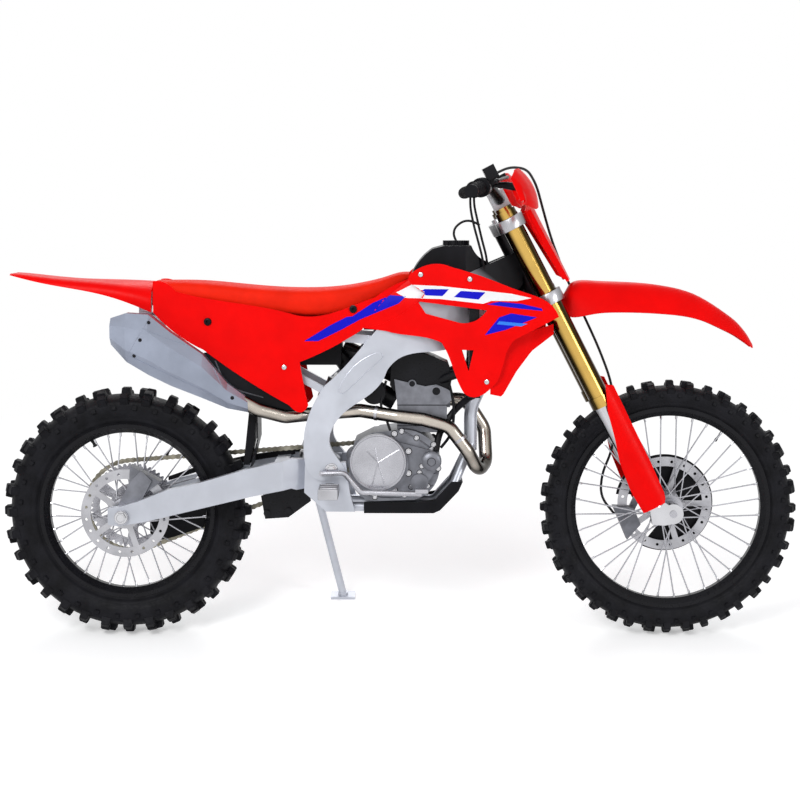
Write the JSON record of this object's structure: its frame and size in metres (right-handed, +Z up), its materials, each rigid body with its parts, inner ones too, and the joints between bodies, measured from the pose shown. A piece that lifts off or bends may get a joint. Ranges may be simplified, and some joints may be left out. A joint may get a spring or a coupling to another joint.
{
  "type": "motocross bike",
  "caption": "Motocross bike leaning on its side stand, with knobbly tyres, long fenders, a flat seat, twin spar frame, open engine, low exhaust and handguards.",
  "frame": {"origin": "middle of the whole bike's box in plan, at the ground that the tyres and the side stand's foot stand on", "axes": "+X ahead, +Z up from the ground; the bike leans towards +Y, its left, on its side stand"},
  "size_m": [2.1636, 0.8262, 1.325],
  "materials": {
    "black_metal": "black, satin",
    "black_plastic": "black, matt",
    "bright_steel": "polished",
    "cast_metal": "cast, matt",
    "chain_steel": "oiled",
    "frame_metal": "satin light grey",
    "gold_metal": "gold anodised, polished",
    "grip_rubber": "matt black",
    "hose": "black, satin",
    "machined_metal": "machined, satin",
    "red_plastic": "pure red, glossy",
    "seat_cover": "red cover, matt",
    "silencer_metal": "satin, slightly blue",
    "steel": "brushed",
    "tyre": "matt black"
  },
  "bodies": {
    "chassis": {"airbox": "black_plastic", "brake_pedal": "machined_metal", "chain_guide": "black_plastic", "clutch_cover": "cast_metal", "counter_sprocket": "steel", "drive_chain": "chain_steel", "engine_cases": "cast_metal", "engine_cylinder": "cast_metal", "exhaust_pipe": "bright_steel", "footpegs": "steel", "fuel_cap": "black_plastic", "fuel_tank": "black_plastic", "head_cover": "black_metal", "heat_guard": "black_plastic", "main_frame": "frame_metal", "mud_flap": "black_plastic", "radiators": "black_metal", "rear_axle": "machined_metal", "rear_caliper": "cast_metal", "rear_fender": "red_plastic", "rear_shock": "steel", "rear_subframe": "frame_metal", "seat": "seat_cover", "shift_lever": "machined_metal", "shock_linkage": "machined_metal", "shroud_left": "red_plastic", "shroud_right": "red_plastic", "side_panel_left": "red_plastic", "side_panel_right": "red_plastic", "silencer": "silencer_metal", "skid_plate": "black_plastic", "swingarm": "frame_metal"},
    "steering": {"controls": "black_metal", "disc_cover": "black_plastic", "fork_guards": "red_plastic", "fork_legs": "bright_steel", "fork_tubes": "gold_metal", "front_axle": "machined_metal", "front_brake_hose": "hose", "front_caliper": "cast_metal", "front_fender": "red_plastic", "grips": "grip_rubber", "handguards": "red_plastic", "handlebar": "black_metal", "number_plate": "black_plastic", "triple_clamps": "black_metal"},
    "front_wheel": {"front_disc": "steel", "front_hub": "machined_metal", "front_rim": "black_metal", "front_tyre": "tyre"},
    "rear_wheel": {"rear_disc": "steel", "rear_hub": "machined_metal", "rear_rim": "black_metal", "rear_sprocket": "machined_metal", "rear_tyre": "tyre"},
    "side_stand": {"side_stand": "frame_metal"}
  },
  "joints": [
    {"name": "steering_turn", "type": "hinge", "parent": "chassis", "child": "steering", "pos_m": [0.33381, -0.03488, 0.98641], "axis": [-0.4586, 0.1543, 0.8751], "range_deg": [-45, 45]},
    {"name": "front_wheel_spin", "type": "hinge", "parent": "steering", "child": "front_wheel", "pos_m": [0.73332, -0.14778, 0.3461], "axis": [0, 0.9848, -0.1736], "continuous": true},
    {"name": "rear_wheel_spin", "type": "hinge", "parent": "chassis", "child": "rear_wheel", "pos_m": [-0.74382, -0.1496, 0.33576], "axis": [0, 0.9848, -0.1736], "continuous": true},
    {"name": "side_stand_fold", "type": "hinge", "parent": "chassis", "child": "side_stand", "pos_m": [-0.2374, -0.01069, 0.35188], "axis": [0.2665, 0.9392, 0.2164], "range_deg": [0, 130]}
  ]
}
